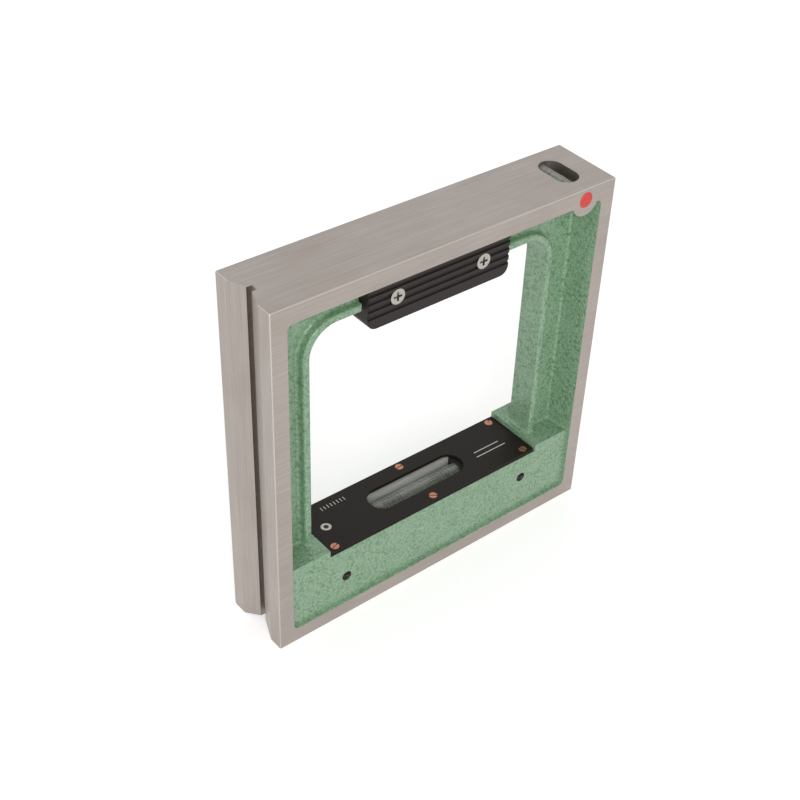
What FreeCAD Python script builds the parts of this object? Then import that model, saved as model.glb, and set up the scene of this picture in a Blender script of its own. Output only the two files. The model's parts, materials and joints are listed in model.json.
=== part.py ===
import FreeCAD, Part
import Sketcher

import math
import os
from types import SimpleNamespace

# Precision machinist level: a square frame level of cast iron.
# Millimetres. X runs along the base, Y is across the frame with the front at -Y, Z is up.
# The origin is under the middle of the base.

# ---------------------------------------------------------------- driving sizes
SIZES = {
    # frame casting
    "frame_length": 200.0,
    "frame_width": 40.0,
    "frame_height": 200.0,
    "edge_chamfer": 0.5,
    "rim_side": 8.5,            # machined rim seen from the front
    "rim_bottom": 8.5,
    "rim_top": 9.0,
    "web_thickness": 7.0,
    "wall_draft": 6.0,          # degrees, lets the casting leave its mould
    "corner_spare": 0.066,      # what the draft and the cast fillet leave of the recess's corner radius
    "panel_recess": 2.0,        # painted panels of the base lie this far behind the rim
    "shoulder_height": 47.0,
    "bead_width": 4.0,          # rounded flange around the opening
    "bead_depth": 16.0,
    "pillar_width": 28.5,
    "lintel_height": 28.0,
    "opening_radius": 15.0,
    "paint_fillet": 1.5,
    "bead_round": 1.2,
    # cover plate and its milled seat
    "cover_setback": 4.05,      # from the side of the opening to the end of the cover plate
    "cover_width": 34.6,
    "cover_thickness": 1.5,
    "cover_top": 44.5,
    "cover_corner": 1.0,
    "seat_end_gap": 0.55,
    "window_length": 60.0,
    "window_width": 16.0,
    "cover_screw_inset": 5.0,
    "cover_screw_spread": 28.0,
    "cover_screw_shank": 2.5,
    "cover_screw_head": 4.4,
    "cover_screw_length": 9.0,
    "cover_slot_width": 0.6,
    "cover_slot_depth": 0.5,
    "head_gap": 0.1,
    "thread_gap": 0.02,
    # trench in the base rail for the main vial
    "trench_left_inset": 4.45,  # insets are measured from the ends of the cover plate
    "trench_right_inset": 1.95,
    "trench_width": 20.0,
    "trench_floor": 16.0,
    "trench_corner": 3.0,
    # V grooves in the base and in the left side
    "groove_width": 24.0,
    "groove_depth": 3.64,
    "relief_width": 4.0,
    "relief_depth": 6.4,
    # main vial: glass, liquid, bubble and rubber bushes
    "vial_axis_height": 35.0,
    "vial_glass_radius": 6.0,
    "vial_glass_length": 66.0,
    "vial_wall": 1.5,
    "vial_end_wall": 2.5,
    "liquid_gap": 0.05,
    "bubble_chord": 2.2,        # height of the bubble's flat underside over the vial's axis
    "bubble_gap": 0.15,
    "main_bubble_length": 22.0,
    "main_bubble_travel": 10.0,
    "bush_length": 6.0,
    "bush_overlap": 5.0,        # each bush slips this far over the end of the glass
    # vial holder: a trough with a lug at each end
    "trough_end_gap": 2.0,      # from the end of the glass to the end of the trough
    "trough_channel": 14.0,
    "trough_wall": 1.5,
    "trough_top": 41.9,
    "lug_width": 12.0,
    "lug_bottom": 21.5,
    "lug_top": 31.5,
    "lug_left_inset": 5.65,
    "lug_right_inset": 3.45,
    # pivot and side screws, screwed in from the front and the rear panel
    "pivot_inset": 8.45,
    "pivot_height": 29.0,
    "pivot_dog": 3.0,
    "pivot_dog_reach": 2.5,
    "pivot_gap": 0.05,
    "side_screw_inset": 9.45,
    "side_screw_height": 24.5,
    "side_screw_tip": 0.8,
    "panel_screw": 5.5,
    "panel_screw_sink": 1.2,
    "lug_side_gap": 0.1,
    "screw_slot_width": 1.0,
    "screw_slot_depth": 0.9,
    # adjusting screw, its nut and spring
    "adjuster_inset": 9.95,
    "adjuster_head": 5.5,
    "adjuster_head_drop": 0.3,
    "adjuster_hole_gap": 0.2,
    "adjuster_collar": 8.0,
    "adjuster_collar_height": 1.3,
    "adjuster_collar_gap": 0.05,
    "adjuster_shank": 3.0,
    "adjuster_foot_depth": 5.0,
    "adjuster_socket": 2.5,
    "adjuster_socket_depth": 2.0,
    "nut_width": 5.5,
    "nut_height": 2.4,
    "nut_gap": 0.05,
    "spring_wire": 0.7,
    "spring_radius": 2.3,
    "spring_turns": 4.0,
    "spring_gap": 0.05,
    # grip: two ribbed halves clamped on the top rail
    "grip_length": 84.0,
    "grip_thickness": 21.8,
    "grip_top_drop": 14.5,
    "grip_height": 23.5,
    "grip_corner": 5.0,
    "grip_edge": 0.8,
    "grip_parting": 0.05,
    "rib_pitch": 4.0,
    "rib_first_rise": 7.0,
    "rib_radius": 1.0,
    "rib_sink": 0.2,
    "rib_grooves": 4.0,
    "bay_width": 86.0,          # the bead stops this far apart to make room for the grip
    "tongue_width": 76.0,
    "tongue_height": 6.0,
    "tongue_gap": 0.2,
    "grip_screw_spread": 51.0,
    "grip_screw_rise": 13.0,
    "grip_screw_head": 8.0,
    "grip_screw_shank": 4.0,
    "grip_screw_hole": 4.4,
    "grip_screw_length": 19.0,
    "grip_recess_span": 4.8,
    "grip_recess_width": 1.2,
    "grip_recess_depth": 1.8,
    "grip_nut_width": 7.0,
    "grip_nut_height": 3.2,
    "grip_nut_cover": 1.4,
    # cross vial in the top right corner
    "cross_inset": 19.5,
    "cross_drop": 6.0,
    "cross_boss_radius": 8.5,
    "cross_slot_width": 13.0,
    "cross_slot_length": 23.0,
    "cross_slot_depth": 7.5,
    "cross_glass_radius": 4.0,
    "cross_glass_length": 30.0,
    "cross_bore_gap": 0.1,
    "cross_wall": 1.0,
    "cross_chord": 1.2,
    "cross_bubble_length": 7.0,
    "cross_bubble_travel": 5.0,
    "seal_sink": 0.1,
    "seal_gap": 0.02,
}


class Size:
    """A number together with the sheet expression that drives it."""

    def __init__(self, value, text):
        self.value = value
        self.text = text

    def join(self, other, sign, value):
        return Size(value, f"({self.text} {sign} {other.text})")

    def __add__(self, other):
        other = as_size(other)
        return self.join(other, "+", self.value + other.value)

    def __sub__(self, other):
        other = as_size(other)
        return self.join(other, "-", self.value - other.value)

    def __mul__(self, other):
        other = as_size(other)
        return self.join(other, "*", self.value * other.value)

    def __truediv__(self, other):
        other = as_size(other)
        return self.join(other, "/", self.value / other.value)

    def __neg__(self):
        return Size(-self.value, f"(0 - {self.text})")


def as_size(number):
    if isinstance(number, Size):
        return number
    return Size(float(number), repr(float(number)))


def tangent(angle):
    """The tangent of a size in degrees."""
    return Size(math.tan(math.radians(angle.value)), f"tan({angle.text})")


doc = FreeCAD.newDocument("frame_level")
sheet = doc.addObject("Spreadsheet::Sheet", "Sizes")
for row, (alias, number) in enumerate(SIZES.items(), start=1):
    sheet.set(f"A{row}", alias)
    sheet.set(f"B{row}", str(number))
    sheet.setAlias(f"B{row}", alias)
doc.recompute()

d = SimpleNamespace(**{alias: Size(number, f"Sizes.{alias}") for alias, number in SIZES.items()})
ZERO = as_size(0)
ROOT3 = as_size(math.sqrt(3))
NORMAL = FreeCAD.Vector(0, 0, 1)

nodes = []                      # every finished sub-part, in the order it is made


def keep(item, label):
    item.Label = label
    nodes.append(item)
    return item


# ---------------------------------------------------------------- sketches
def new_body(name):
    return doc.addObject("PartDesign::Body", name)


def origin_feature(body, role):
    return next(item for item in body.Origin.OriginFeatures if item.Role == role)


def new_sketch(body, plane, name, offset=ZERO):
    """A sketch on one of the body's own origin planes, moved along its normal."""
    sketch = body.newObject("Sketcher::SketchObject", name)
    sketch.AttachmentSupport = [(origin_feature(body, plane), "")]
    sketch.MapMode = "FlatFace"
    if offset is not ZERO:
        sketch.setExpression("AttachmentOffset.Base.z", offset.text)
    return sketch


def fix_point(sketch, geometry, position, place):
    """Ties a point to the sketch's origin, one size for each direction."""
    for size, kind, axis in ((place[0], "DistanceX", -2), (place[1], "DistanceY", -1)):
        if size is ZERO:
            sketch.addConstraint(Sketcher.Constraint("PointOnObject", geometry, position, axis))
            continue
        index = sketch.addConstraint(Sketcher.Constraint(kind, -1, 1, geometry, position, size.value))
        sketch.setExpression(f"Constraints[{index}]", size.text)


def fix_radius(sketch, geometry, radius):
    index = sketch.addConstraint(Sketcher.Constraint("Radius", geometry, radius.value))
    sketch.setExpression(f"Constraints[{index}]", radius.text)


def vector(x, y):
    return FreeCAD.Vector(x, y, 0)


def add_circle(sketch, centre, radius):
    circle = Part.Circle(vector(centre[0].value, centre[1].value), NORMAL, radius.value)
    geometry = sketch.addGeometry(circle)
    fix_point(sketch, geometry, 3, centre)
    fix_radius(sketch, geometry, radius)


def sign(number):
    return (number > 1e-9) - (number < -1e-9)


def add_outline(sketch, corners):
    """A closed outline. A corner is (x, y), or (x, y, radius) where two axis-parallel edges are rounded."""
    corners = [tuple(as_size(part) if part is not ZERO else ZERO for part in corner) for corner in corners]
    count = len(corners)
    ends = []                   # for each corner: arc or None, entry point, exit point
    for i, corner in enumerate(corners):
        x, y = corner[0], corner[1]
        if len(corner) == 2:
            ends.append((None, (x.value, y.value), (x.value, y.value)))
            continue
        radius = corner[2]
        before = corners[i - 1]
        after = corners[(i + 1) % count]
        step_in = (sign(before[0].value - x.value), sign(before[1].value - y.value))
        step_out = (sign(after[0].value - x.value), sign(after[1].value - y.value))
        side = (step_in[0] + step_out[0], step_in[1] + step_out[1])
        centre = (x + radius * side[0], y + radius * side[1])
        entry = (x.value + radius.value * step_in[0], y.value + radius.value * step_in[1])
        leave = (x.value + radius.value * step_out[0], y.value + radius.value * step_out[1])
        left_turn = step_out[0] * step_in[1] - step_out[1] * step_in[0] > 0
        ends.append(((centre, radius, left_turn), entry, leave))

    lines = []
    for i in range(count):
        start = vector(*ends[i][2])
        end = vector(*ends[(i + 1) % count][1])
        lines.append(sketch.addGeometry(Part.LineSegment(start, end)))

    for i, corner in enumerate(corners):
        arc, entry, leave = ends[i]
        line_in, line_out = lines[i - 1], lines[i]
        if arc is None:
            sketch.addConstraint(Sketcher.Constraint("Coincident", line_in, 2, line_out, 1))
            fix_point(sketch, line_out, 1, corner)
            continue
        centre, radius, left_turn = arc
        first, last = (entry, leave) if left_turn else (leave, entry)
        middle = vector(centre[0].value, centre[1].value)
        start, end = (math.atan2(point[1] - middle.y, point[0] - middle.x) for point in (first, last))
        geometry = sketch.addGeometry(Part.ArcOfCircle(Part.Circle(middle, NORMAL, radius.value), start, end))
        entry_end, leave_end = (1, 2) if left_turn else (2, 1)
        sketch.addConstraint(Sketcher.Constraint("Tangent", line_in, 2, geometry, entry_end))
        sketch.addConstraint(Sketcher.Constraint("Tangent", geometry, leave_end, line_out, 1))
        fix_point(sketch, geometry, 3, centre)
        fix_radius(sketch, geometry, radius)


def add_box(sketch, left, right, bottom, top, radius=None):
    """A rectangle, with all four corners rounded if a radius is given."""
    extra = () if radius is None else (radius,)
    corners = ((left, bottom), (right, bottom), (right, top), (left, top))
    add_outline(sketch, [corner + extra for corner in corners])


def add_slot(sketch, centre_x, half_span, radius, along_x):
    """A slot with round ends, centred on the sketch's X axis line y = 0."""
    if along_x:
        centres = ((centre_x - half_span, ZERO), (centre_x + half_span, ZERO))
        turn = 0.0
    else:
        centres = ((centre_x, -half_span), (centre_x, half_span))
        turn = math.pi / 2
    arcs = []
    for centre, start in zip(centres, (math.pi / 2 + turn, -math.pi / 2 + turn)):
        circle = Part.Circle(vector(centre[0].value, centre[1].value), NORMAL, radius.value)
        arcs.append(sketch.addGeometry(Part.ArcOfCircle(circle, start, start + math.pi)))
    for first, second in ((0, 1), (1, 0)):
        start = sketch.getPoint(arcs[first], 2)
        end = sketch.getPoint(arcs[second], 1)
        line = sketch.addGeometry(Part.LineSegment(start, end))
        sketch.addConstraint(Sketcher.Constraint("Tangent", arcs[first], 2, line, 1))
        sketch.addConstraint(Sketcher.Constraint("Tangent", line, 2, arcs[second], 1))
    for arc, centre in zip(arcs, centres):
        fix_point(sketch, arc, 3, centre)
    fix_radius(sketch, arcs[0], radius)
    sketch.addConstraint(Sketcher.Constraint("Equal", arcs[0], arcs[1]))


def add_hexagon(sketch, centre, across_flats):
    x, y = centre
    corner = across_flats / ROOT3
    flat = across_flats / 2
    add_outline(sketch, [
        (x + corner, y), (x + corner / 2, y + flat), (x - corner / 2, y + flat),
        (x - corner, y), (x - corner / 2, y - flat), (x + corner / 2, y - flat)])


# ---------------------------------------------------------------- features
def pad(body, sketch, length, symmetric=False, reverse=False):
    feature = body.newObject("PartDesign::Pad", "Pad")
    feature.Profile = sketch
    feature.SideType = "Symmetric" if symmetric else "One side"
    feature.Reversed = reverse
    feature.setExpression("Length", length.text)
    return feature


def pocket(body, sketch, depth=None, symmetric=False, reverse=False, taper=None):
    """A pocket to a depth, or right through where no depth is given."""
    feature = body.newObject("PartDesign::Pocket", "Pocket")
    feature.Profile = sketch
    feature.SideType = "Symmetric" if symmetric else "One side"
    feature.Reversed = reverse
    if depth is None:
        feature.Type = "ThroughAll"
    else:
        feature.setExpression("Length", depth.text)
    if taper is not None:
        feature.setExpression("TaperAngle", taper.text)
    return feature


def cut_checked(body, *args, **kwargs):
    """A pocket that must take something away."""
    doc.recompute()
    before = body.Shape.Volume
    feature = pocket(body, *args, **kwargs)
    doc.recompute()
    if not body.Shape.Volume < before - 1e-6:
        raise RuntimeError(f"{body.Name}: {feature.Name} cuts nothing")
    return feature


def revolve(body, sketch, axis):
    feature = body.newObject("PartDesign::Revolution", "Revolution")
    feature.Profile = sketch
    feature.ReferenceAxis = (sketch, [axis])
    feature.Angle = 360.0
    return feature


def mirror(body, features, plane):
    feature = body.newObject("PartDesign::Mirrored", "Mirrored")
    feature.Originals = features
    feature.MirrorPlane = (origin_feature(body, plane), [""])
    body.Tip = feature
    return feature


def pick_edges(shape, test):
    """Names of the edges whose middle point and direction pass the test."""
    names = []
    for number, edge in enumerate(shape.Edges, start=1):
        middle = edge.valueAt((edge.FirstParameter + edge.LastParameter) / 2)
        if test(edge, middle):
            names.append(f"Edge{number}")
    return names


def blend(body, kind, size, test):
    """A fillet or chamfer on the edges that pass the test."""
    doc.recompute()
    base = body.Tip
    names = pick_edges(base.Shape, test)
    if not names:
        raise RuntimeError(f"{body.Name}: no edge to blend")
    feature = body.newObject(f"PartDesign::{kind}", kind)
    feature.Base = (base, names)
    if kind == "Fillet":
        feature.setExpression("Radius", size.text)
    else:
        feature.setExpression("Size", size.text)
    doc.recompute()
    return feature


def near(first, second, room=0.01):
    return abs(first - second) < room


def place(item, x=ZERO, y=ZERO, z=ZERO, axis=None, angle=0.0):
    """Puts a finished item at its place, with the sizes that give the place."""
    if axis is not None:
        item.Placement = FreeCAD.Placement(FreeCAD.Vector(), FreeCAD.Rotation(FreeCAD.Vector(*axis), angle))
    for letter, size in (("x", x), ("y", y), ("z", z)):
        if size is not ZERO:
            item.setExpression(f"Placement.Base.{letter}", size.text)
    return item


def group(label, master, places):
    """One node of several separate solids: the same fastener at each (x, y, z), turned about an axis."""
    links = []
    for number, (spot, axis, angle) in enumerate(places, start=1):
        link = doc.addObject("App::Link", f"{label}_{number}")
        link.LinkedObject = master
        links.append(place(link, *spot, axis, angle))
    compound = doc.addObject("Part::Compound", f"{label}_group")
    compound.Links = links
    return keep(compound, label)


# ---------------------------------------------------------------- sizes worked out from the sheet
half_length = d.frame_length / 2
half_width = d.frame_width / 2
half_web = d.web_thickness / 2
rail_width = d.frame_width - d.panel_recess * 2
cavity_depth = half_width - half_web
cavity_corner = cavity_depth * tangent(d.wall_draft) + d.paint_fillet + d.corner_spare
opening_side = half_length - d.pillar_width
opening_top = d.frame_height - d.lintel_height
seat_height = d.cover_top - d.cover_thickness
cover_half = opening_side - d.cover_setback
seat_half = cover_half + d.seat_end_gap
cover_screw_x = cover_half - d.cover_screw_inset
cover_screw_y = d.cover_screw_spread / 2
cover_screw_places = [(x, y) for x in (-cover_screw_x, ZERO, cover_screw_x)
                      for y in (-cover_screw_y, cover_screw_y)]
trench_left = cover_half - d.trench_left_inset
trench_right = cover_half - d.trench_right_inset
lug_left_end = cover_half - d.lug_left_inset
lug_right_end = cover_half - d.lug_right_inset
pivot_place = cover_half - d.pivot_inset
side_screw_place = cover_half - d.side_screw_inset
adjuster_place = cover_half - d.adjuster_inset
grip_top = d.frame_height - d.grip_top_drop
grip_bottom = grip_top - d.grip_height
tongue_bottom = opening_top - d.tongue_height
grip_screw_x = d.grip_screw_spread / 2
grip_screw_height = grip_bottom + d.grip_screw_rise
rib_first = grip_bottom + d.rib_first_rise
vial_half = d.vial_glass_length / 2
bush_inset = vial_half - d.bush_overlap
trough_half = vial_half + d.trough_end_gap
cross_place = half_length - d.cross_inset
cross_height = d.frame_height - d.cross_drop
vial_bore_radius = d.vial_glass_radius - d.vial_wall
liquid_radius = vial_bore_radius - d.liquid_gap
cross_bore_radius = d.cross_glass_radius - d.cross_wall
cross_liquid_radius = cross_bore_radius - d.liquid_gap
grip_face = d.grip_thickness / 2


# ---------------------------------------------------------------- frame casting
def make_frame_casting():
    body = new_body("frame_casting")

    outer = new_sketch(body, "XZ_Plane", "outer_block")
    add_box(outer, -half_length, half_length, ZERO, d.frame_height)
    pad(body, outer, d.frame_width, symmetric=True)

    # drafted recess on both faces, down to the web
    cavity = new_sketch(body, "XZ_Plane", "cavity", half_width)
    side = half_length - d.rim_side
    add_box(cavity, -side, side, d.rim_bottom, d.frame_height - d.rim_top, cavity_corner)
    front_cavity = cut_checked(body, cavity, cavity_depth, taper=-d.wall_draft)
    mirror(body, [front_cavity], "XZ_Plane")

    blend(body, "Fillet", d.paint_fillet, lambda edge, middle: near(abs(middle.y), half_web.value))

    # solid base rail that carries the main vial
    rail = new_sketch(body, "XZ_Plane", "base_rail")
    rail_side = half_length - d.rim_side / 2
    add_box(rail, -rail_side, rail_side, d.rim_bottom / 2, d.shoulder_height)
    pad(body, rail, rail_width, symmetric=True)

    # bead around the opening
    bead = new_sketch(body, "XZ_Plane", "bead")
    bead_side = opening_side + d.bead_width
    bead_top = opening_top + d.bead_width
    bead_radius = d.opening_radius + d.bead_width
    bead_foot = d.shoulder_height - d.panel_recess
    add_outline(bead, [(-bead_side, bead_foot), (bead_side, bead_foot),
                       (bead_side, bead_top, bead_radius), (-bead_side, bead_top, bead_radius)])
    pad(body, bead, d.bead_depth, symmetric=True)

    # bay in the bead for the grip
    bay = new_sketch(body, "XZ_Plane", "grip_bay", half_width)
    bay_side = d.bay_width / 2
    add_box(bay, -bay_side, bay_side, tongue_bottom - d.bead_width, bead_top + d.tongue_gap)
    front_bay = cut_checked(body, bay, cavity_depth)
    mirror(body, [front_bay], "XZ_Plane")

    # opening, with a tongue of the web left for the grip
    opening = new_sketch(body, "XZ_Plane", "opening")
    tongue = d.tongue_width / 2
    add_outline(opening, [
        (-opening_side, d.shoulder_height), (opening_side, d.shoulder_height),
        (opening_side, opening_top, d.opening_radius), (tongue, opening_top),
        (tongue, tongue_bottom), (-tongue, tongue_bottom),
        (-tongue, opening_top), (-opening_side, opening_top, d.opening_radius)])
    cut_checked(body, opening, symmetric=True)

    blend_bead(body)

    # boss that carries the cross vial
    boss = new_sketch(body, "XZ_Plane", "cross_boss")
    add_circle(boss, (cross_place, cross_height), d.cross_boss_radius)
    pad(body, boss, d.frame_width, symmetric=True)
    trim = new_sketch(body, "XZ_Plane", "top_trim")
    add_box(trim, -half_length, half_length, d.frame_height, d.frame_height + d.cross_boss_radius)
    cut_checked(body, trim, symmetric=True)
    blend(body, "Chamfer", d.edge_chamfer, on_outer_corner)

    # milled seat of the cover plate, and the trench under it
    seat = new_sketch(body, "XZ_Plane", "seat")
    add_box(seat, -seat_half, seat_half, seat_height, d.shoulder_height + d.paint_fillet)
    cut_checked(body, seat, symmetric=True)
    trench = new_sketch(body, "XY_Plane", "trench", seat_height)
    trench_side = d.trench_width / 2
    add_box(trench, -trench_left, trench_right, -trench_side, trench_side, d.trench_corner)
    cut_checked(body, trench, seat_height - d.trench_floor)

    # tapped holes for the cover screws, foot of the adjusting screw
    tapped = new_sketch(body, "XY_Plane", "cover_holes", seat_height)
    for spot in cover_screw_places:
        add_circle(tapped, spot, d.cover_screw_shank / 2 + d.thread_gap)
    cut_checked(body, tapped, d.cover_screw_length)
    foot_hole = new_sketch(body, "XY_Plane", "adjuster_foot", d.trench_floor)
    add_circle(foot_hole, (-adjuster_place, ZERO), d.adjuster_shank / 2 + d.pivot_gap)
    cut_checked(body, foot_hole, d.adjuster_foot_depth)

    # pivot and side screws come in from both panels
    cross_holes = new_sketch(body, "XZ_Plane", "panel_holes")
    tap_radius = d.panel_screw / 2 + d.thread_gap
    add_circle(cross_holes, (pivot_place, d.pivot_height), tap_radius)
    add_circle(cross_holes, (-side_screw_place, d.side_screw_height), tap_radius)
    for x in (-grip_screw_x, grip_screw_x):
        add_circle(cross_holes, (x, grip_screw_height), d.grip_screw_hole / 2)
    add_circle(cross_holes, (cross_place, cross_height), d.cross_glass_radius + d.cross_bore_gap)
    cut_checked(body, cross_holes, symmetric=True)

    slot = new_sketch(body, "XY_Plane", "cross_slot", d.frame_height)
    slot_radius = d.cross_slot_width / 2
    add_slot(slot, cross_place, d.cross_slot_length / 2 - slot_radius, slot_radius, along_x=False)
    cut_checked(body, slot, d.cross_slot_depth)

    # V grooves with a relief slot, along the base and up the left side
    land, relief = d.groove_width / 2, d.relief_width / 2
    base_groove = new_sketch(body, "YZ_Plane", "base_groove")
    add_outline(base_groove, [
        (-land, ZERO), (land, ZERO), (relief, d.groove_depth), (relief, d.relief_depth),
        (-relief, d.relief_depth), (-relief, d.groove_depth)])
    cut_checked(body, base_groove, symmetric=True)
    side_groove = new_sketch(body, "XY_Plane", "side_groove")
    left = -half_length
    add_outline(side_groove, [
        (left, land), (left, -land), (left + d.groove_depth, -relief), (left + d.relief_depth, -relief),
        (left + d.relief_depth, relief), (left + d.groove_depth, relief)])
    cut_checked(body, side_groove, reverse=True)
    return keep(body, "frame_casting")


def on_outer_corner(edge, middle):
    """True for the long edges where two outer faces of the block meet."""
    on_side = near(abs(middle.x), half_length.value)
    on_face = near(abs(middle.y), half_width.value)
    on_end = near(middle.z, 0) or near(middle.z, d.frame_height.value)
    return on_side + on_face + on_end >= 2


def blend_bead(body):
    """The rounded edges of the bead, and the cast fillets where it meets the web and the rail."""
    web, bead, shoulder = half_web.value, d.bead_depth.value / 2, d.shoulder_height.value
    bead_side = opening_side.value + d.bead_width.value
    bay_side = d.bay_width.value / 2
    bay_top = opening_top.value + d.bead_width.value + d.tongue_gap.value

    def bead_edge(edge, middle):
        return near(abs(middle.y), bead) and middle.z > shoulder + 0.01

    def inner_corner(edge, middle):
        beside_bead = abs(middle.x) < bead_side + 0.01
        in_bay = abs(middle.x) < bay_side + 0.01 and middle.z < bay_top + 0.01
        bead_at_web = near(abs(middle.y), web) and beside_bead and middle.z < bay_top and not in_bay
        rail_at_web = near(abs(middle.y), web) and near(middle.z, shoulder)
        foot = near(middle.z, shoulder) and abs(middle.y) < bead + 0.01 and beside_bead
        return bead_at_web or rail_at_web or foot

    blend(body, "Fillet", d.bead_round, bead_edge)
    blend(body, "Fillet", d.paint_fillet, inner_corner)


# ---------------------------------------------------------------- cover plate
def make_cover_plate():
    body = new_body("cover_plate")
    plate = new_sketch(body, "XY_Plane", "plate")
    half, side = cover_half, d.cover_width / 2
    add_box(plate, -half, half, -side, side, d.cover_corner)
    pad(body, plate, d.cover_thickness)
    window = new_sketch(body, "XY_Plane", "window", d.cover_thickness)
    window_radius = d.window_width / 2
    add_slot(window, ZERO, d.window_length / 2 - window_radius, window_radius, along_x=True)
    cut_checked(body, window)
    adjuster = new_sketch(body, "XY_Plane", "adjuster_hole", d.cover_thickness)
    add_circle(adjuster, (-adjuster_place, ZERO), d.adjuster_head / 2 + d.adjuster_hole_gap)
    cut_checked(body, adjuster)

    holes = new_sketch(body, "XY_Plane", "screw_holes", d.cover_thickness)
    for spot in cover_screw_places:
        add_circle(holes, spot, d.cover_screw_shank / 2 + d.head_gap)
    doc.recompute()
    countersink(body, holes, d.cover_screw_shank + d.head_gap * 2, d.cover_screw_head + d.head_gap * 2)
    place(body, z=seat_height)
    return keep(body, "cover_plate")


def countersink(body, sketch, diameter, mouth):
    """Countersunk clearance holes at the circles of a sketch."""
    feature = body.newObject("PartDesign::Hole", "Hole")
    feature.Profile = sketch
    doc.recompute()
    feature.ThreadType = "None"
    feature.DepthType = "ThroughAll"
    feature.HoleCutType = "Countersink"
    feature.HoleCutCustomValues = True
    feature.setExpression("Diameter", diameter.text)
    feature.setExpression("HoleCutDiameter", mouth.text)
    feature.HoleCutCountersinkAngle = 90.0
    doc.recompute()
    return feature


# ---------------------------------------------------------------- screws
def make_countersunk_blank(name, head, shank, length):
    """A countersunk screw standing on Z with no drive yet, the top of its head at z = 0."""
    body = new_body(name)
    half_head, half_shank = head / 2, shank / 2
    section = new_sketch(body, "XZ_Plane", "section")
    add_outline(section, [(ZERO, ZERO), (half_head, ZERO), (half_shank, half_shank - half_head),
                          (half_shank, -length), (ZERO, -length)])
    revolve(body, section, "V_Axis")
    return body


def make_cover_screws():
    """Countersunk slotted screws, each tightened to an angle of its own."""
    head = d.cover_screw_head
    screw = make_countersunk_blank("cover_screw", head, d.cover_screw_shank, d.cover_screw_length)
    slot = new_sketch(screw, "XY_Plane", "slot")
    add_box(slot, -head, head, -(d.cover_slot_width / 2), d.cover_slot_width / 2)
    cut_checked(screw, slot, d.cover_slot_depth)
    turns = (20, 75, 140, 5, 110, 50)
    group("cover_screws", screw, [((x, y, d.cover_top), (0, 0, 1), turn)
                                  for (x, y), turn in zip(cover_screw_places, turns)])


def make_panel_screw(name, shoulder, reach):
    """A headless slotted screw for the front panel: full size to y = -shoulder, its dog to y = -reach."""
    body = new_body(name)
    outside = rail_width / 2 - d.panel_screw_sink
    radius = d.panel_screw / 2
    section = new_sketch(body, "XY_Plane", "section")
    dog = d.pivot_dog / 2
    add_outline(section, [(ZERO, -outside), (radius, -outside), (radius, -shoulder), (dog, -shoulder),
                          (dog, -reach), (ZERO, -reach)])
    revolve(body, section, "V_Axis")
    slot = new_sketch(body, "XZ_Plane", "slot", outside)
    add_box(slot, -radius * 2, radius * 2, -(d.screw_slot_width / 2), d.screw_slot_width / 2)
    cut_checked(body, slot, d.screw_slot_depth)
    return body


def make_panel_screws():
    """A pair of pivot screws at the right end and a pair of side screws at the left end."""
    lug_side = d.lug_width / 2 + d.lug_side_gap
    pivot_spot = (pivot_place, ZERO, d.pivot_height)
    pivot = make_panel_screw("pivot_screw", lug_side, d.pivot_dog_reach)
    group("pivot_screws", pivot, [(pivot_spot, (0, 0, 1), turn) for turn in (0, 180)])
    side_spot = (-side_screw_place, ZERO, d.side_screw_height)
    side = make_panel_screw("side_lock_screw", lug_side + d.side_screw_tip, lug_side)
    group("side_lock_screws", side, [(side_spot, (0, 0, 1), turn) for turn in (0, 180)])


# ---------------------------------------------------------------- adjusting screw, nut and spring
def make_adjusting_screw():
    body = new_body("adjusting_screw")
    head, collar, shank = d.adjuster_head / 2, d.adjuster_collar / 2, d.adjuster_shank / 2
    head_top = d.cover_top - d.adjuster_head_drop
    collar_top = seat_height - d.adjuster_collar_gap
    collar_foot = collar_top - d.adjuster_collar_height
    foot = d.trench_floor - d.adjuster_foot_depth
    section = new_sketch(body, "XZ_Plane", "section")
    add_outline(section, [(ZERO, foot), (shank, foot), (shank, collar_foot), (collar, collar_foot),
                          (collar, collar_top), (head, collar_top), (head, head_top), (ZERO, head_top)])
    revolve(body, section, "V_Axis")
    socket = new_sketch(body, "XY_Plane", "socket", head_top)
    add_hexagon(socket, (ZERO, ZERO), d.adjuster_socket)
    cut_checked(body, socket, d.adjuster_socket_depth)
    place(body, x=-adjuster_place)
    keep(body, "adjusting_screw")


def make_hex_nut(name, width, height, bore):
    """A hexagon nut standing on Z from z = 0, corners along X."""
    body = new_body(name)
    hexagon = new_sketch(body, "XY_Plane", "hexagon")
    add_hexagon(hexagon, (ZERO, ZERO), width)
    pad(body, hexagon, height)
    hole = new_sketch(body, "XY_Plane", "bore", height)
    add_circle(hole, (ZERO, ZERO), bore)
    cut_checked(body, hole)
    return body


def make_adjusting_nut():
    nut = make_hex_nut("adjusting_nut", d.nut_width, d.nut_height, d.adjuster_shank / 2 + d.nut_gap)
    place(nut, x=-adjuster_place, z=d.pivot_height - d.nut_height / 2)
    keep(nut, "adjusting_nut")


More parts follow.
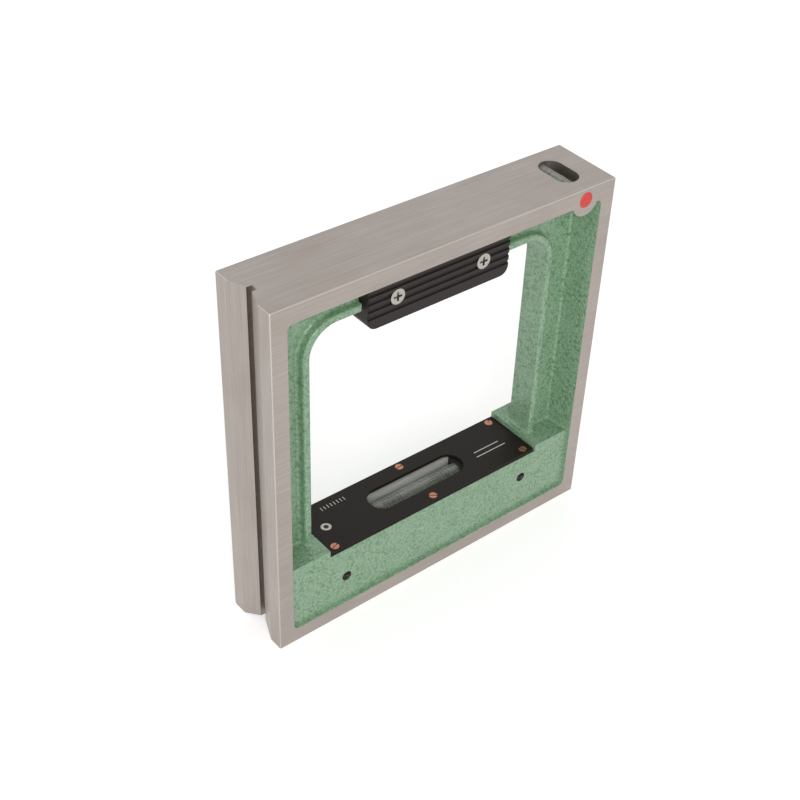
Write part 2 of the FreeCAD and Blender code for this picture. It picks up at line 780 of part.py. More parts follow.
def make_adjusting_spring():
    """A coil between the trench floor and the lug, around the adjusting screw.

    The wire is drawn with eight sides, because a round one swept four turns
    meshes into more facets than the rest of the part together.
    """
    wire_radius = d.spring_wire / 2
    room = d.lug_bottom - d.trench_floor - d.spring_gap
    helix = doc.addObject("Part::Helix", "spring_path")
    helix.setExpression("Radius", d.spring_radius.text)
    helix.setExpression("Height", (room - d.spring_wire).text)
    helix.setExpression("Pitch", ((room - d.spring_wire) / d.spring_turns).text)
    wire = doc.addObject("Part::RegularPolygon", "spring_wire")
    wire.Polygon = 8
    wire.setExpression("Circumradius", wire_radius.text)
    wire.Placement = FreeCAD.Placement(FreeCAD.Vector(), FreeCAD.Rotation(FreeCAD.Vector(1, 0, 0), 90))
    wire.setExpression("Placement.Base.x", d.spring_radius.text)
    spring = doc.addObject("Part::Sweep", "spring")
    spring.Sections = [wire]
    spring.Spine = (helix, [])
    spring.Solid = True
    spring.Frenet = True
    place(spring, x=-adjuster_place, z=d.trench_floor + wire_radius)
    keep(spring, "adjusting_spring")


# ---------------------------------------------------------------- vial holder
def make_vial_holder():
    body = new_body("vial_holder")
    channel, outside = d.trough_channel / 2, d.trough_channel / 2 + d.trough_wall
    half = trough_half
    bottom = d.vial_axis_height - outside

    trough = new_sketch(body, "YZ_Plane", "trough")
    round_foot = outside - d.trough_wall
    add_outline(trough, [(-outside, bottom, round_foot), (outside, bottom, round_foot),
                         (outside, d.trough_top), (-outside, d.trough_top)])
    pad(body, trough, trough_half * 2, symmetric=True)

    lugs = new_sketch(body, "XZ_Plane", "lugs")
    lug_round = (d.lug_top - d.lug_bottom) / 3
    add_outline(lugs, [
        (-lug_left_end, d.lug_bottom, d.trough_wall), (-half + lug_round, d.lug_bottom),
        (-half + lug_round, bottom + d.trough_wall / 2), (half - lug_round, bottom + d.trough_wall / 2),
        (half - lug_round, d.lug_bottom), (lug_right_end, d.lug_bottom, lug_round),
        (lug_right_end, d.lug_top, lug_round), (-lug_left_end, d.lug_top, d.trough_wall)])
    pad(body, lugs, d.lug_width, symmetric=True)

    room = new_sketch(body, "YZ_Plane", "channel")
    floor = d.vial_axis_height - channel
    add_outline(room, [(-channel, floor, channel - d.liquid_gap), (channel, floor, channel - d.liquid_gap),
                       (channel, d.trough_top + d.trough_wall), (-channel, d.trough_top + d.trough_wall)])
    cut_checked(body, room, trough_half * 2, symmetric=True)

    screw_way = new_sketch(body, "XY_Plane", "screw_way", d.lug_top)
    add_circle(screw_way, (-adjuster_place, ZERO), d.adjuster_shank / 2 + d.adjuster_hole_gap)
    cut_checked(body, screw_way)
    nut_pocket = new_sketch(body, "XY_Plane", "nut_pocket", d.lug_top)
    add_hexagon(nut_pocket, (-adjuster_place, ZERO), d.nut_width)
    cut_checked(body, nut_pocket, d.lug_top - d.pivot_height + d.nut_height / 2)
    pivot = new_sketch(body, "XZ_Plane", "pivot_bore")
    add_circle(pivot, (pivot_place, d.pivot_height), d.pivot_dog / 2 + d.pivot_gap)
    cut_checked(body, pivot, symmetric=True)
    keep(body, "vial_holder")


def make_bush(label, start):
    """A rubber bush that sets the glass in the channel; start is its lower X end."""
    body = new_body(label)
    channel = d.trough_channel / 2
    floor = d.vial_axis_height - channel
    outline = new_sketch(body, "YZ_Plane", "outline")
    corner = channel - d.liquid_gap
    add_outline(outline, [(-channel, floor, corner), (channel, floor, corner),
                          (channel, d.trough_top), (-channel, d.trough_top)])
    pad(body, outline, d.bush_length)
    bore = new_sketch(body, "YZ_Plane", "bore", d.bush_length)
    add_circle(bore, (ZERO, d.vial_axis_height), d.vial_glass_radius + d.thread_gap)
    cut_checked(body, bore)
    place(body, x=start)
    keep(body, label)


# ---------------------------------------------------------------- vials
def make_tube(label, outer, inner, half, end_wall):
    """A sealed glass tube along X, with the bore that holds the liquid."""
    body = new_body(label)
    section = new_sketch(body, "XY_Plane", "section")
    bore_half = half - end_wall
    rim = end_wall / 2
    add_outline(section, [(-half, ZERO), (-half, outer, rim), (half, outer, rim), (half, ZERO),
                          (bore_half, ZERO), (bore_half, inner), (-bore_half, inner), (-bore_half, ZERO)])
    revolve(body, section, "H_Axis")
    return body


def make_liquid(label, radius, half, chord, channel_half):
    """The liquid along X; the bubble's way along the top of the bore is left free."""
    body = new_body(label)
    section = new_sketch(body, "XY_Plane", "section")
    add_outline(section, [(-half, ZERO), (-half, radius), (half, radius), (half, ZERO)])
    revolve(body, section, "H_Axis")
    way = new_sketch(body, "XZ_Plane", "bubble_way")
    add_box(way, -channel_half, channel_half, chord, radius * 2)
    cut_checked(body, way, symmetric=True)
    return body


def make_bubble(label, radius, length, chord):
    """A flat-bottomed bubble along X, with rounded ends."""
    body = new_body(label)
    section = new_sketch(body, "XY_Plane", "section")
    half, end_round = length / 2, radius / 2
    add_outline(section, [(-half, ZERO), (-half, radius, end_round), (half, radius, end_round), (half, ZERO)])
    revolve(body, section, "H_Axis")
    below = new_sketch(body, "XZ_Plane", "below")
    add_box(below, -length, length, -(radius * 2), chord)
    cut_checked(body, below, symmetric=True)
    return body


def make_main_vial():
    half = d.vial_glass_length / 2
    glass = make_tube("main_vial_glass", d.vial_glass_radius, vial_bore_radius, half, d.vial_end_wall)
    keep(place(glass, z=d.vial_axis_height), "main_vial_glass")
    channel_half = d.main_bubble_length / 2 + d.main_bubble_travel + d.bubble_gap
    liquid = make_liquid("main_vial_liquid", liquid_radius, half - d.vial_end_wall - d.liquid_gap,
                         d.bubble_chord, channel_half)
    keep(place(liquid, z=d.vial_axis_height), "main_vial_liquid")
    bubble = make_bubble("main_bubble", vial_bore_radius - d.bubble_gap, d.main_bubble_length,
                         d.bubble_chord + d.bubble_gap)
    keep(place(bubble, z=d.vial_axis_height), "main_bubble")


def make_cross_vial():
    half = d.cross_glass_length / 2
    quarter_turn = {"axis": (0, 0, 1), "angle": 90}
    spot = {"x": cross_place, "z": cross_height}
    glass = make_tube("cross_vial_glass", d.cross_glass_radius, cross_bore_radius, half, d.cross_wall)
    keep(place(glass, **spot, **quarter_turn), "cross_vial_glass")
    channel_half = d.cross_bubble_length / 2 + d.cross_bubble_travel + d.bubble_gap
    liquid = make_liquid("cross_vial_liquid", cross_liquid_radius, half - d.cross_wall - d.liquid_gap,
                         d.cross_chord, channel_half)
    keep(place(liquid, **spot, **quarter_turn), "cross_vial_liquid")
    bubble = make_bubble("cross_bubble", cross_bore_radius - d.bubble_gap, d.cross_bubble_length,
                         d.cross_chord + d.bubble_gap)
    keep(place(bubble, **spot, **quarter_turn), "cross_bubble")


def make_seal_plug(label, turn):
    """A sealing plug in one mouth of the cross vial's bore."""
    body = new_body(label)
    inner = d.cross_glass_length / 2
    outer = half_width - d.seal_sink
    section = new_sketch(body, "XY_Plane", "section")
    radius = d.cross_glass_radius + d.cross_bore_gap - d.seal_gap
    add_outline(section, [(ZERO, -outer), (radius, -outer), (radius, -inner), (ZERO, -inner)])
    revolve(body, section, "V_Axis")
    place(body, x=cross_place, z=cross_height, axis=(0, 0, 1), angle=turn)
    keep(body, label)


# ---------------------------------------------------------------- grip
def make_grip_half(label, screw_side):
    """The front half of the grip; the rear half is the same moulding turned round, with nut pockets."""
    body = new_body(label)
    half = d.grip_length / 2
    outline = new_sketch(body, "XZ_Plane", "outline", grip_face)
    add_outline(outline, [(-half, grip_bottom, d.grip_corner), (half, grip_bottom, d.grip_corner),
                          (half, grip_top, d.grip_edge), (-half, grip_top, d.grip_edge)])
    pad(body, outline, grip_face - d.grip_parting, reverse=True)
    blend(body, "Fillet", d.grip_edge, lambda edge, middle: near(middle.y, -grip_face.value))

    # room for the web and its tongue on the inner side
    room = new_sketch(body, "XZ_Plane", "web_room")
    tongue = d.tongue_width / 2 + d.tongue_gap
    beyond = half + d.grip_corner
    step = opening_top - d.tongue_gap
    add_outline(room, [
        (-beyond, step), (-tongue, step), (-tongue, tongue_bottom - d.tongue_gap),
        (tongue, tongue_bottom - d.tongue_gap), (tongue, step), (beyond, step),
        (beyond, grip_top + d.grip_corner), (-beyond, grip_top + d.grip_corner)])
    cut_checked(body, room, half_web, reverse=True)

    # grooves between the ribs, full length
    groove = new_sketch(body, "YZ_Plane", "groove")
    add_circle(groove, (-(grip_face - d.rib_sink), rib_first), d.rib_radius)
    first = cut_checked(body, groove, symmetric=True)
    pattern = body.newObject("PartDesign::LinearPattern", "ribs")
    pattern.Originals = [first]
    pattern.Direction = (groove, ["V_Axis"])
    pattern.Mode = "Spacing"
    pattern.setExpression("Offset", d.rib_pitch.text)
    pattern.setExpression("Occurrences", d.rib_grooves.text)
    body.Tip = pattern
    doc.recompute()

    seats = new_sketch(body, "XZ_Plane", "screw_seats", grip_face)
    for x in (-grip_screw_x, grip_screw_x):
        add_circle(seats, (x, grip_screw_height), d.grip_screw_hole / 2)
    doc.recompute()
    if screw_side:
        countersink(body, seats, d.grip_screw_hole, d.grip_screw_head + d.head_gap * 2)
    else:
        cut_checked(body, seats)
        for x in (-grip_screw_x, grip_screw_x):
            nut_pocket = new_sketch(body, "XZ_Plane", "nut_pocket")
            add_hexagon(nut_pocket, (x, grip_screw_height), d.grip_nut_width)
            cut_checked(body, nut_pocket, grip_face - d.grip_nut_cover, reverse=True)
        place(body, axis=(0, 0, 1), angle=180)
    keep(body, label)


def make_grip_screws():
    """Countersunk screws with a cross recess, driven in from the front."""
    screw = make_countersunk_blank("grip_screw", d.grip_screw_head, d.grip_screw_shank, d.grip_screw_length)
    recess = new_sketch(screw, "XY_Plane", "recess")
    arm, width = d.grip_recess_span / 2, d.grip_recess_width / 2
    add_outline(recess, [
        (arm, -width), (arm, width), (width, width), (width, arm), (-width, arm), (-width, width),
        (-arm, width), (-arm, -width), (-width, -width), (-width, -arm), (width, -arm), (width, -width)])
    cut_checked(screw, recess, d.grip_recess_depth)
    group("grip_screws", screw, [((x, -grip_face, grip_screw_height), (1, 0, 0), 90)
                                 for x in (-grip_screw_x, grip_screw_x)])


def make_grip_nuts():
    nut = make_hex_nut("grip_nut", d.grip_nut_width, d.grip_nut_height, d.grip_screw_shank / 2 + d.nut_gap)
    group("grip_nuts", nut, [((x, grip_face - d.grip_nut_cover, grip_screw_height), (1, 0, 0), 90)
                             for x in (-grip_screw_x, grip_screw_x)])


# ---------------------------------------------------------------- build, check and write
make_frame_casting()
make_cover_plate()
make_cover_screws()
make_panel_screws()
make_adjusting_screw()
make_adjusting_nut()
make_adjusting_spring()
make_vial_holder()
make_bush("vial_bush_left", -(bush_inset + d.bush_length))
make_bush("vial_bush_right", bush_inset)
make_main_vial()
make_cross_vial()
make_seal_plug("seal_plug_front", 0.0)
make_seal_plug("seal_plug_rear", 180.0)
make_grip_half("grip_front", screw_side=True)
make_grip_half("grip_rear", screw_side=False)
make_grip_screws()
make_grip_nuts()
doc.recompute()

for item in doc.Objects:
    if "Invalid" in item.State or "Error" in item.State:
        raise RuntimeError(f"{item.Label} failed: {item.State}")
for item in nodes:
    if item.Shape.isNull() or not item.Shape.isValid():
        raise RuntimeError(f"{item.Label} has no valid shape")

os.makedirs("parts", exist_ok=True)
for item in nodes:
    item.Shape.exportStep(f"parts/{item.Label}.step")
    box = item.Shape.BoundBox
    print(f"{item.Label:18s} {len(item.Shape.Solids)} solids, {item.Shape.Volume:9.1f} mm3,"
          f" {box.XLength:6.2f} x {box.YLength:6.2f} x {box.ZLength:6.2f}")
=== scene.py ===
# %% [markdown]
# # A square frame level
#
# A toolmaker's frame level is a square casting of iron, 200 mm high, ground on
# its outside and enamelled on its inside. A long glass vial lies in the base
# rail under a black cover plate, and a short one lies across the top corner.
# The construction model already has every solid piece at its real size, so
# this lesson keeps those pieces and gives each its finish, with the printed
# marks drawn into the finishes. All lengths are in metres.

# %% Load the construction model
import json
import math

import bpy
from mathutils import Matrix, Vector

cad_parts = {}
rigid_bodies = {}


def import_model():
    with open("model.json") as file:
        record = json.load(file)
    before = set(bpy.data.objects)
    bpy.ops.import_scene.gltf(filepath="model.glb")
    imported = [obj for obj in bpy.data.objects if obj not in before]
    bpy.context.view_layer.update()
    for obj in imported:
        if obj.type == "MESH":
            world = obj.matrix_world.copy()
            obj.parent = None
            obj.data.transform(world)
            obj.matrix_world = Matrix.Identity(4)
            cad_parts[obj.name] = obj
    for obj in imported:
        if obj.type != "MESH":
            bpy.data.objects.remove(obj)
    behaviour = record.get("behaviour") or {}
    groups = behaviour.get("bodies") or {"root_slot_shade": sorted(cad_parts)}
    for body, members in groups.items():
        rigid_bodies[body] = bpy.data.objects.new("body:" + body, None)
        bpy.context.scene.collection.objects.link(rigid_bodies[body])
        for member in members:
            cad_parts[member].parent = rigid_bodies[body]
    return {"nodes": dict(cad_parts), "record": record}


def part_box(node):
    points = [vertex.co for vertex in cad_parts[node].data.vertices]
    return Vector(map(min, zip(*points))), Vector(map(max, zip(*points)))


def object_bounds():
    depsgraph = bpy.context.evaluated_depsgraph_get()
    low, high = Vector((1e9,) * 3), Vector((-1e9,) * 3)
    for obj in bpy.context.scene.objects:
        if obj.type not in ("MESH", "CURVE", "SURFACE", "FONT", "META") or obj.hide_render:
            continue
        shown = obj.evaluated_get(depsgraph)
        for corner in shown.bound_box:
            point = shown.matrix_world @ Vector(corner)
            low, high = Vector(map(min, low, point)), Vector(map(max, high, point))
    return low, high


for leftover in list(bpy.data.objects):
    bpy.data.objects.remove(leftover)

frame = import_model()
nodes = frame["nodes"]
cad_low, cad_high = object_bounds()
MM = 0.001
print("nodes:", len(nodes), "box:", [round(v / MM, 1) for v in cad_high - cad_low], "mm")

# %% [markdown]
# ## Writing a material as arithmetic
#
# A finish such as hammered enamel is a sum of patterns. Wiring Math nodes by
# hand hides that sum, so a small class wraps a socket and lets Python's own
# operators add the nodes. Every other node comes from one method, which sets
# the node's options first and its sockets after them.

# %% A value that changes over a surface
class Value:
    """The output of a node. Arithmetic on it adds Math nodes."""

    def __init__(self, finish, socket):
        self.finish = finish
        self.socket = socket

    def maths(self, operation, *values):
        return self.finish.node("ShaderNodeMath", {"operation": operation}, values)

    def __add__(self, other):
        return self.maths("ADD", self, other)

    def __sub__(self, other):
        return self.maths("SUBTRACT", self, other)

    def __rsub__(self, other):
        return self.maths("SUBTRACT", other, self)

    def __mul__(self, other):
        return self.maths("MULTIPLY", self, other)

    def __abs__(self):
        return self.maths("ABSOLUTE", self)

    def __gt__(self, other):
        return self.maths("GREATER_THAN", self, other)

    def __lt__(self, other):
        return self.maths("LESS_THAN", self, other)

    __radd__ = __add__
    __rmul__ = __mul__

    def most(self, other):
        return self.maths("MAXIMUM", self, other)

    def least(self, other):
        return self.maths("MINIMUM", self, other)


# %% [markdown]
# ## One place where nodes are made
#
# A finish holds the node tree of a material, or of the world, which is built
# the same way. Noise, cells, ramps and mixes are short names for the few nodes
# that every finish here needs.

# %% A finish, built node by node
CELL_SOFTNESS = 0.6


class Finish:
    """The nodes of a material or of the world. Only node() makes nodes."""

    def __init__(self, owner):
        self.owner = owner
        owner.use_nodes = True
        self.tree = owner.node_tree
        self.tree.nodes.clear()

    def node(self, kind, settings=None, sockets=(), output=0):
        made = self.tree.nodes.new(kind)
        for name, setting in (settings or {}).items():
            setattr(made, name, setting)
        entries = sockets.items() if isinstance(sockets, dict) else enumerate(sockets)
        for key, content in entries:
            if isinstance(content, Value):
                self.tree.links.new(content.socket, made.inputs[key])
            else:
                made.inputs[key].default_value = content
        return Value(self, made.outputs[output]) if made.outputs else made

    def place(self):
        """Where a point of the piece is, in metres, and its three parts."""
        spot = self.node("ShaderNodeTexCoord", output="Object")
        return spot, [self.node("ShaderNodeSeparateXYZ", None, [spot], n) for n in range(3)]

    def stretch(self, spot, scale):
        return self.node("ShaderNodeVectorMath", {"operation": "MULTIPLY"}, [spot, scale])

    def noise(self, spot, grain, detail=2.0, rough=0.5):
        """Cloudy pattern from 0 to 1 with blotches about `grain` metres wide."""
        sockets = {"Vector": spot, "Scale": 1 / grain, "Detail": detail, "Roughness": rough}
        return self.node("ShaderNodeTexNoise", None, sockets)

    def cells(self, spot, grain):
        """Distance from the middle of each cell, for cells about `grain` metres wide."""
        sockets = {"Vector": spot, "Scale": 1 / grain, "Smoothness": CELL_SOFTNESS}
        return self.node("ShaderNodeTexVoronoi", {"feature": "SMOOTH_F1"}, sockets)

    def between(self, value, start, end, low=0.0, high=1.0):
        """Low before start, high after end, and a ramp from one to the other."""
        return self.node("ShaderNodeMapRange", {"clamp": True}, [value, start, end, low, high])

    def mix(self, share, first, second):
        first, second = [c if isinstance(c, Value) else (*c, 1) for c in (first, second)]
        return self.node("ShaderNodeMix", {"data_type": "RGBA"}, {0: share, 6: first, 7: second}, 2)

    def bump(self, height, distance, strength=1.0):
        sockets = {"Height": height, "Distance": distance, "Strength": strength}
        return self.node("ShaderNodeBump", None, sockets)

    def shader(self, sockets):
        return self.node("ShaderNodeBsdfPrincipled", None, sockets)

    def seen(self):
        """1 for what the eye, a reflection or a look through glass shows, 0 for light."""
        rays = [self.node("ShaderNodeLightPath", output=ray)
                for ray in ("Is Camera Ray", "Is Glossy Ray", "Is Transmission Ray")]
        return rays[0].most(rays[1]).most(rays[2])

    def done(self, shader, output="ShaderNodeOutputMaterial"):
        self.node(output, None, {"Surface": shader})
        return self.owner


def new_finish(name):
    return Finish(bpy.data.materials.new(name))


def colour(red, green, blue):
    """A colour as it is seen, 0 to 255, turned into the light that a shader works in."""
    seen = [part / 255 for part in (red, green, blue)]
    return tuple(c / 12.92 if c < 0.04 else ((c + 0.055) / 1.055) ** 2.4 for c in seen)


# %% [markdown]
# ## The casting: ground iron outside, hammered enamel inside
#
# The casting is one piece of iron with two finishes. It is enamelled first,
# then its outside is ground, so the enamel ends in a crisp line at the edge of
# each recess. A mask from the position keeps both finishes in one material:
# enamel lies within the rims and behind the ground faces, bare iron elsewhere.
# The enamel has shallow round dimples with a darker vein between them. The
# ground iron has fine lines along the travel of the grinding wheel.

# %% Casting finish
RIM_SIDE, RIM_BOTTOM, RIM_TOP = 8.4 * MM, 8.4 * MM, 8.9 * MM
GROUND_SKIN = 0.06 * MM
SEAT_HALF_LENGTH, SEAT_HALF_WIDTH = 67.9 * MM, 17.9 * MM
SEAT_FOOT, SEAT_TOP = 8 * MM, 46.9 * MM
SLOT_HALF_WIDTH, SLOT_MOUTH = 2.05 * MM, 3.7 * MM
DIMPLE_WIDTH, DIMPLE_DEPTH = 1.5 * MM, 0.12 * MM
SWIRL, SWIRL_SCALE = 1.2 * MM, 500.0
LINE_WIDTH, LINE_DEPTH = 0.35 * MM, 0.002 * MM
ALONG = 0.012
CHAMFER, FLAT_SKIN = 0.45 * MM, 0.02 * MM


def casting_finish():
    finish = new_finish("ground_iron_and_enamel")
    spot, (x, y, z) = finish.place()
    inside_x = abs(x) < cad_high.x - RIM_SIDE
    inside_z = (z > RIM_BOTTOM) * (z < cad_high.z - RIM_TOP)
    waver = (finish.noise(spot, 1.2 * MM) - 0.5) * (0.12 * MM)
    behind = abs(y) + waver < cad_high.y - GROUND_SKIN
    seat = (abs(x) < SEAT_HALF_LENGTH) * (z < SEAT_TOP) * (z > SEAT_FOOT)
    seat = seat * (abs(y) < SEAT_HALF_WIDTH)
    enamel = inside_x * inside_z * behind * (1 - seat)

    # enamel: dimples, veins, painted glint specks and a slow drift of the shade
    swirl = finish.node("ShaderNodeTexNoise", None, {"Vector": spot, "Scale": SWIRL_SCALE}, 1)
    swirl = finish.stretch(swirl, (SWIRL, SWIRL, SWIRL))
    bent = finish.node("ShaderNodeVectorMath", {"operation": "ADD"}, [spot, swirl])
    dimple = finish.cells(bent, DIMPLE_WIDTH)
    vein = finish.between(dimple, 0.42, 0.85)
    drift = finish.noise(spot, 14 * MM, 3.0)
    fleck = finish.between(finish.noise(spot, 1.1 * MM, 3.0, 0.6), 0.45, 0.72)
    green = finish.mix(vein * 0.85, colour(138, 172, 140), colour(78, 116, 80))
    green = finish.mix(fleck * 0.6, green, colour(74, 108, 74))
    # painted highlight: pale specks in the colour stand for glints of light off the hammered bumps
    glint_speck = finish.between(finish.noise(spot, 0.7 * MM, 2.0, 0.5), 0.6, 0.72)
    green = finish.mix(glint_speck * 0.55, green, colour(206, 222, 204))
    green = finish.mix(finish.between(drift, 0.35, 0.7) * 0.35, green, colour(150, 176, 150))

    # ground iron: lines along the wheel's travel, a painted highlight on the chamfers and painted shade
    # in the relief slots
    facing = finish.node("ShaderNodeNewGeometry", output="Normal")
    on_side = abs(finish.node("ShaderNodeSeparateXYZ", None, [facing])) > 0.7
    along_z = finish.noise(finish.stretch(spot, (1, 1, ALONG)), LINE_WIDTH, 3.0)
    along_x = finish.noise(finish.stretch(spot, (ALONG, 1, 1)), LINE_WIDTH, 3.0)
    lines = on_side * along_z + (1 - on_side) * along_x
    cloud = finish.noise(spot, 30 * MM, 2.0)
    iron = finish.mix(finish.between(lines, 0.3, 0.7), colour(158, 149, 143), colour(176, 168, 162))
    iron = finish.mix(finish.between(cloud, 0.4, 0.7) * 0.3, iron, colour(150, 140, 132))
    # painted highlight: the chamfers are lightened to stand for the light they catch
    edge = chamfer_highlight_mask(x, y, z)
    iron = finish.mix(edge * 0.6, iron, colour(206, 200, 194))
    # painted shade: the relief slot at the root of each V-groove is coloured near black and made mostly
    # not metallic, standing for the shade in the narrow slot
    low_wall = (x < cad_low.x + SLOT_MOUTH) + (z < cad_low.z + SLOT_MOUTH)
    root_slot_shade = (abs(y) < SLOT_HALF_WIDTH) * low_wall.least(1.0)
    iron = finish.mix(root_slot_shade, iron, colour(34, 31, 28))

    height = enamel * (finish.between(dimple, 0.1, 0.9) * -1.0 + 1.0) * DIMPLE_DEPTH
    fine = (1 - enamel) * lines * LINE_DEPTH
    normal = finish.bump(height + fine, 1.0)
    rough = enamel * (0.22 + vein * 0.14) + (1 - enamel) * (0.30 + lines * 0.16)
    return finish.done(finish.shader({
        "Base Color": finish.mix(enamel, iron, green),
        "Metallic": (1 - enamel) * (1 - root_slot_shade * 0.9),
        "Roughness": rough,
        "Normal": normal,
    }))


def chamfer_highlight_mask(x, y, z):
    """1 on the chamfers between two ground faces, where the iron gets a painted highlight."""
    def near_outside(room):
        on_z = ((z < room) + (z > cad_high.z - room)).least(1.0)
        return (abs(x) > cad_high.x - room) + (abs(y) > cad_high.y - room) + on_z

    return (near_outside(CHAMFER) > 1.5) * (1 - near_outside(FLAT_SKIN).least(1.0))


# %% [markdown]
# ## Plain finishes for the small pieces
#
# Each small piece has one finish: anodised aluminium, coppered and turned
# screws, rubber, moulded plastic, sealing compound. Even a plain finish varies
# a little, so each has its own grain in the colour and in the roughness.

# %% Finishes of one kind of grain
def grained(name, dark, light, grain, rough, metallic=0.0, turned=None, depth=0.0, **constants):
    """Colour between two shades, with roughness from rough[0] to rough[1] over the same grain."""
    finish = new_finish(name)
    spot, _ = finish.place()
    if turned is not None:
        spot = finish.stretch(spot, turned)
    pattern = finish.between(finish.noise(spot, grain, 3.0, 0.6), 0.3, 0.7)
    sockets = {
        "Base Color": finish.mix(pattern, dark, light),
        "Roughness": finish.between(pattern, 0, 1, *rough),
        "Metallic": metallic,
    }
    if depth:
        sockets["Normal"] = finish.bump(pattern, depth)
    return finish.done(finish.shader({**sockets, **constants}))


RULE_HALF, TICK_HALF, PRINT_SKIN = 0.3 * MM, 0.2 * MM, 0.05 * MM
FIRST_TICK, TICK_PITCH = -52 * MM, 1 * MM


def plate_finish():
    """Black anodised plate with printed ticks by the adjuster and two printed rules."""
    finish = new_finish("black_anodised")
    spot, (x, y, z) = finish.place()
    plate_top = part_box("cover_plate")[1][2]
    grain = finish.between(finish.noise(spot, 0.5 * MM, 3.0, 0.6), 0.3, 0.7)
    black = finish.mix(grain, colour(22, 18, 14), colour(34, 28, 23))

    def strip(value, middle, half):
        return abs(value - middle) < half

    rules = strip(x, 47.5 * MM, 8.5 * MM) * strip(y, -1 * MM, RULE_HALF)
    rules = rules + strip(x, 48 * MM, 10 * MM) * strip(y, -4.5 * MM, RULE_HALF)
    along = x - FIRST_TICK
    ticks = along.maths("PINGPONG", along, TICK_PITCH) < TICK_HALF
    ticks = ticks * strip(x, -45 * MM, 7.2 * MM) * strip(y, 11.5 * MM, 1.25 * MM)
    printed = (rules + ticks).least(1.0) * (z > plate_top - PRINT_SKIN)
    return finish.done(finish.shader({
        "Base Color": finish.mix(printed, black, colour(196, 196, 188)),
        "Roughness": finish.between(grain, 0, 1, 0.4, 0.52),
        "Specular IOR Level": 0.18,
        "Normal": finish.bump(grain, 0.004 * MM),
    }))


anodised = plate_finish()
print("cover plate finish:", anodised.name)

# %% [markdown]
# ## Screws, rubber, grip and seal
#
# The cover's screws are coppered, the two screws in each panel are blackened,
# and the grip is moulded. One call gives each, with its own shades, width of
# grain and range of roughness.

# %% The small pieces' finishes
blackened = grained(
    "blackened_screw", colour(40, 36, 33), colour(86, 80, 74), 0.4 * MM, (0.3, 0.45), 0.8)
coppered = grained(
    "coppered_screw", colour(168, 110, 92), colour(206, 148, 126), 0.3 * MM, (0.3, 0.45), 1.0)
steel = grained(
    "turned_steel", colour(150, 146, 140), colour(196, 192, 186), 0.25 * MM, (0.22, 0.4), 1.0)
milled = grained(
    "milled_aluminium", colour(186, 187, 182), colour(216, 216, 210), 0.5 * MM, (0.35, 0.5), 0.3,
    turned=(0.05, 1, 1))
rubber = grained("black_rubber", colour(20, 19, 18), colour(32, 30, 29), 0.4 * MM, (0.6, 0.75),
                 depth=0.01 * MM)
moulded = grained("moulded_black", colour(26, 21, 19), colour(40, 33, 30), 0.35 * MM, (0.45, 0.6),
                  depth=0.012 * MM, **{"Specular IOR Level": 0.3})
sealing = grained("red_sealing_compound", colour(196, 38, 34), colour(224, 66, 56), 1.5 * MM, (0.3, 0.5),
                  depth=0.05 * MM)
print("finishes:", [m.name for m in bpy.data.materials])

# %% [markdown]
# ## Glass, liquid and bubble
#
# A vial is a glass tube filled with a clear liquid but for one bubble, with
# fine rings round it that the bubble's ends are read against. It could be
# refracting glass, but the light of the lamps doesn't pass through that, and
# the trough behind would go dark. So each clear finish is see-through where it
# faces the eye and closes towards its rim, as a round tube does.

# %% Clear finishes
def clear(name, dark, light, thin, rim, marks=()):
    finish = new_finish(name)
    spot, (x, y, z) = finish.place()
    film = finish.noise(spot, 6 * MM)
    facing = finish.node("ShaderNodeLayerWeight", None, {"Blend": 0.4}, "Facing")
    cover = finish.between(facing, 0.15, 0.95, thin, rim)
    tone = finish.mix(film, dark, light)
    for axis, middle, half in marks:
        ring = abs(abs((x, y, z)[axis] - middle[0]) - middle[1]) < half
        cover = cover.most(ring * 0.95)
        tone = finish.mix(ring, tone, colour(20, 20, 18))
    return finish.done(finish.shader({
        "Base Color": tone, "Roughness": finish.between(film, 0.3, 0.7, 0.03, 0.08), "Alpha": cover,
    }))


def middle_of(node, axis):
    low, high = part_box(node)
    return (low[axis] + high[axis]) / 2


main_middle = middle_of("main_vial_glass", 0)
cross_middle = middle_of("cross_vial_glass", 1)
FIRST_RING, RING_PITCH, RING_COUNT, RING_HALF = 11 * MM, 2 * MM, 6, 0.16 * MM
CROSS_RING = 4.5 * MM
main_marks = [(0, (main_middle, FIRST_RING + RING_PITCH * step), RING_HALF)
              for step in range(RING_COUNT)]
cross_marks = [(1, (cross_middle, CROSS_RING), RING_HALF)]
GLASS = colour(206, 214, 206), colour(232, 236, 230), 0.10, 0.62
glass = clear("clear_glass", *GLASS, main_marks)
cross_glass = clear("clear_glass_small", *GLASS, cross_marks)
liquid = clear("clear_liquid", colour(188, 198, 160), colour(206, 214, 178), 0.12, 0.3)
vapour = clear("vapour", colour(60, 64, 54), colour(120, 124, 112), 0.06, 0.9)
print("rings on each half of the long vial:", RING_COUNT)

# %% [markdown]
# ## Dressing the construction model
#
# The record names a slot for each node. Slots could each have one finish, but
# the short vial's rings run the other way and the panel screws are blackened,
# so three nodes have a finish of their own.

# %% Give each node of the construction model its finish
FINISH_OF_SLOT = {
    "cast_iron": casting_finish(),
    "cover_black": anodised,
    "copper_screws": coppered,
    "steel": steel,
    "holder": milled,
    "black_rubber": rubber,
    "vial_glass": glass,
    "vial_liquid": liquid,
    "vapour": vapour,
    "grip_black": moulded,
    "red_seal": sealing,
}
FINISH_OF_NODE = {
    "pivot_screws": blackened,
    "side_lock_screws": blackened,
    "cross_vial_glass": cross_glass,
}
for row in frame["record"]["subparts"]:
    node = nodes[row["node"]]
    node.data.materials.clear()
    finish = FINISH_OF_NODE.get(row["node"], FINISH_OF_SLOT[row["material_slot"]])
    node.data.materials.append(finish)

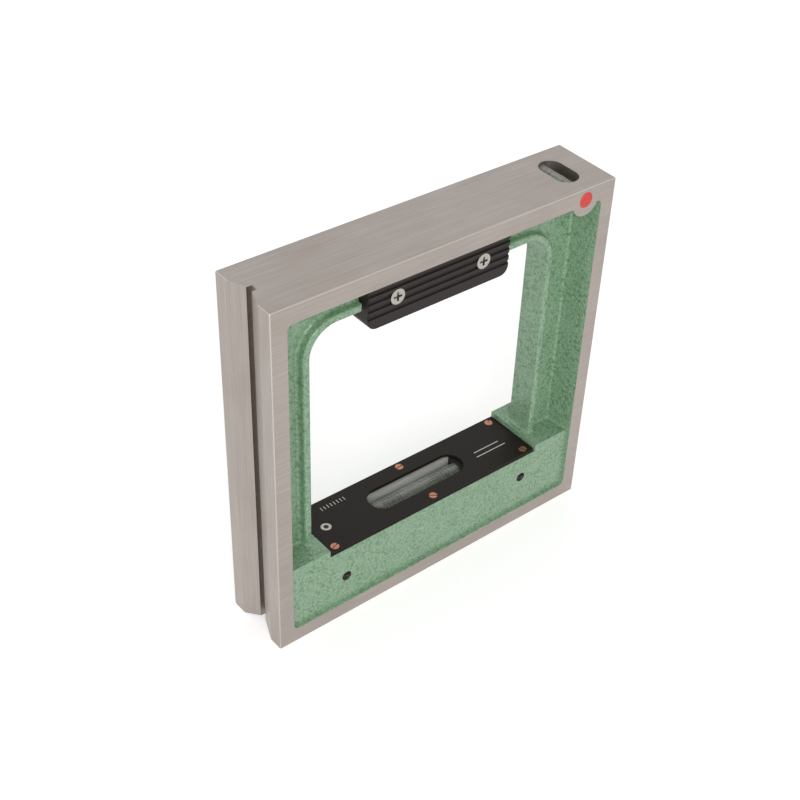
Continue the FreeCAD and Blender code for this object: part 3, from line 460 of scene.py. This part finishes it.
# %% [markdown]
# ## Floor, light and camera
#
# The level stands on a pale floor under soft light, seen from its front left
# corner and from above. The camera's turn comes from three angles, so it can
# be read and changed, where a stored matrix couldn't.

# %% Camera
VIEW_AZIMUTH, VIEW_ELEVATION, VIEW_ROLL = [math.radians(a) for a in (-45.009, 39.867, 5.519)]
VIEW_DISTANCE = 0.776748
VIEW_TARGET = Vector((0.056129, 0, 0.034631))

back = Vector((math.sin(VIEW_AZIMUTH) * math.cos(VIEW_ELEVATION),
               -math.cos(VIEW_AZIMUTH) * math.cos(VIEW_ELEVATION), math.sin(VIEW_ELEVATION)))
camera_data = bpy.data.cameras.new("camera")
camera = bpy.data.objects.new("camera", camera_data)
bpy.context.scene.collection.objects.link(camera)
bpy.context.scene.camera = camera
level_turn = back.to_track_quat("Z", "Y")
camera.rotation_mode = "QUATERNION"
camera.rotation_quaternion = level_turn @ Matrix.Rotation(VIEW_ROLL, 4, "Z").to_quaternion()
camera.location = VIEW_TARGET + back * VIEW_DISTANCE
camera_data.sensor_width = 36
camera_data.lens = 64.087
camera_data.shift_x, camera_data.shift_y = -0.1191, 0.0674
camera_data.clip_start, camera_data.clip_end = 0.01, 20
print("camera at", [round(part / MM) for part in camera.location], "mm")

# %% [markdown]
# ## Floor and world
#
# The floor is white where it is seen, but it sends no more light up than a
# pale floor does: its glow is only for the eye, reflections and glass. It is
# see-through from below, so the underside can be looked at. The world does
# the same at full white, and lights the level at about half of that.

# %% Floor
FLOOR_RADIUS, FLOOR_GLOW = 4, 0.42
scene = bpy.context.scene
scene.view_settings.view_transform = "Standard"
bpy.ops.mesh.primitive_circle_add(vertices=96, radius=FLOOR_RADIUS, fill_type="NGON")
floor = bpy.context.object
floor.name = "floor"


def floor_finish():
    finish = new_finish("pale_floor")
    below = finish.node("ShaderNodeNewGeometry", output="Backfacing")
    glow = finish.mix(finish.seen(), (0, 0, 0), (1, 1, 1))
    pale = finish.shader({"Base Color": (0.86, 0.86, 0.85, 1), "Roughness": 0.9,
                          "Emission Color": glow, "Emission Strength": FLOOR_GLOW})
    see_through = finish.node("ShaderNodeBsdfTransparent")
    return finish.done(finish.node("ShaderNodeMixShader", None, [below, pale, see_through]))


floor.data.materials.append(floor_finish())
print("floor radius:", FLOOR_RADIUS, "m")

# %% World
WORLD_LIGHT, WORLD_WHITE = 0.55, 1.0
scene.world = bpy.data.worlds.new("studio")
sky = Finish(scene.world)
strength = sky.between(sky.seen(), 0, 1, WORLD_LIGHT, WORLD_WHITE)
white = sky.node("ShaderNodeBackground", None, {"Color": (1, 1, 1, 1), "Strength": strength})
sky.done(white, "ShaderNodeOutputWorld")
print("world light:", WORLD_LIGHT)


# %% [markdown]
# ## Lamps
#
# Two wide discs give soft shadows. The one behind would show in the ground
# top as a bright patch, so it lights the level but isn't seen in reflections.

# %% Lamps
def softbox(name, place, aim, size, power):
    data = bpy.data.lights.new(name, "AREA")
    data.shape, data.size, data.energy = "DISK", size, power
    lamp = bpy.data.objects.new(name, data)
    scene.collection.objects.link(lamp)
    lamp.location = place
    lamp.rotation_mode = "QUATERNION"
    lamp.rotation_quaternion = (Vector(place) - Vector(aim)).to_track_quat("Z", "Y")
    return lamp


softbox("front_left_softbox", (-0.9, -1.3, 0.9), (0, 0, 0.1), 0.9, 14)
back_lamp = softbox("back_right_softbox", (1.2, 1.3, 1.2), (0, 0, 0.15), 0.8, 6)
back_lamp.visible_glossy = False
